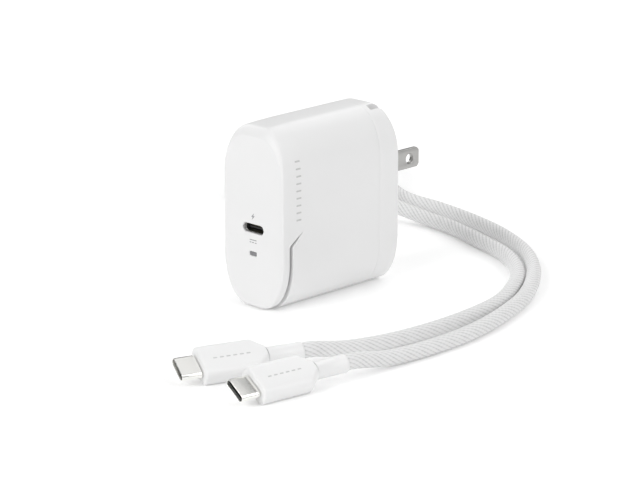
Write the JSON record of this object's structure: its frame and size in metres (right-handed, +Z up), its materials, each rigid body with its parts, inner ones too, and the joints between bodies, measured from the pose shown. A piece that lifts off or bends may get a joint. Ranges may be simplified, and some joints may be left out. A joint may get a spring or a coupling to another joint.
{
  "type": "laptop power adapter",
  "caption": "Upright white wall charger with rounded ends, a USB-C port, a small light, folding flat blades and a loose braided USB-C cable.",
  "frame": {"origin": "on the surface it stands on, under the middle of the box that holds the charger with its blades folded out; the loose cable is not counted", "axes": "+X across the charger's width, +Y from the port face towards the blades, +Z up"},
  "size_m": [0.1832, 0.2058, 0.058],
  "materials": {
    "white_housing": "satin moulded white polycarbonate with a very fine texture",
    "cradle": "satin white glass-filled nylon",
    "hub": "satin white nylon",
    "blade_metal": "nickel-plated brass, lightly brushed",
    "spring_metal": "phosphor bronze strip",
    "port_metal": "drawn stainless steel",
    "port_black": "black nylon",
    "led_lens": "grey smoked light window",
    "led_chip": "white chip package",
    "board": "green solder mask on glass-epoxy board",
    "ferrite": "dark grey sintered ferrite",
    "bobbin": "black phenolic",
    "tape": "yellow polyester tape over windings",
    "copper": "enamelled copper wire",
    "capacitor_sleeve": "black heat-shrink sleeve",
    "capacitor_can": "plain aluminium can",
    "film_yellow": "yellow moulded film capacitor case",
    "ceramic_blue": "blue epoxy dip",
    "package": "black moulded package",
    "fuse_case": "brown plastic case",
    "aluminium": "plain rolled sheet",
    "pad": "soft grey gap filler",
    "film": "thin white insulating film",
    "wire": "white insulation",
    "plug_metal": "drawn stainless steel, bead-blasted",
    "plug_white": "satin white moulded plastic",
    "plug_black": "black nylon",
    "braid": "white braided polyester sleeve",
    "tie": "soft white silicone strap"
  },
  "bodies": {
    "charger": {"front_cover": "white_housing", "main_shell": "white_housing", "rear_cap": "white_housing", "prong_cradle": "cradle", "contact_spring_left": "spring_metal", "contact_spring_right": "spring_metal", "detent_spring": "spring_metal", "usb_c_shell": "port_metal", "usb_c_tongue": "port_black", "led_window": "led_lens", "led_chip": "led_chip", "led_board": "board", "main_board": "board", "usb_board": "board", "pd_controller": "package", "transformer_core_front": "ferrite", "transformer_core_rear": "ferrite", "transformer_bobbin": "bobbin", "transformer_winding": "tape", "choke_core": "ferrite", "choke_winding_lower": "copper", "choke_winding_upper": "copper", "bulk_capacitor_left": "capacitor_sleeve", "bulk_capacitor_right": "capacitor_sleeve", "aux_capacitor": "capacitor_sleeve", "output_capacitor_left": "capacitor_can", "output_capacitor_middle": "capacitor_can", "output_capacitor_right": "capacitor_can", "x_capacitor": "film_yellow", "y_capacitor": "ceramic_blue", "varistor": "ceramic_blue", "fuse": "fuse_case", "gan_switch": "package", "sync_rectifier": "package", "bridge_rectifier": "package", "heat_spreader": "aluminium", "thermal_pad": "pad", "insulator_sheet": "film", "ac_lead_left": "wire", "ac_lead_right": "wire"},
    "blades": {"blade_left": "blade_metal", "blade_right": "blade_metal", "blade_hub": "hub"},
    "cable": {"plug_a_shell": "plug_metal", "plug_a_insert": "plug_black", "plug_a_body": "plug_white", "plug_a_sleeve": "plug_white", "plug_b_shell": "plug_metal", "plug_b_insert": "plug_black", "plug_b_body": "plug_white", "plug_b_sleeve": "plug_white", "cable_run_a": "braid", "cable_run_b": "braid", "cable_coil": "braid", "cable_tie": "tie"}
  },
  "joints": [
    {"name": "blade_fold", "type": "hinge", "parent": "charger", "child": "blades", "pos_m": [0, 0.0142, 0.0374], "axis": [1, 0, 0], "range_deg": [0, 90]},
    {"name": "cable_lift", "type": "slide", "parent": "charger", "child": "cable", "axis": [0, 0, 1], "range_m": [0, 0.1]}
  ]
}
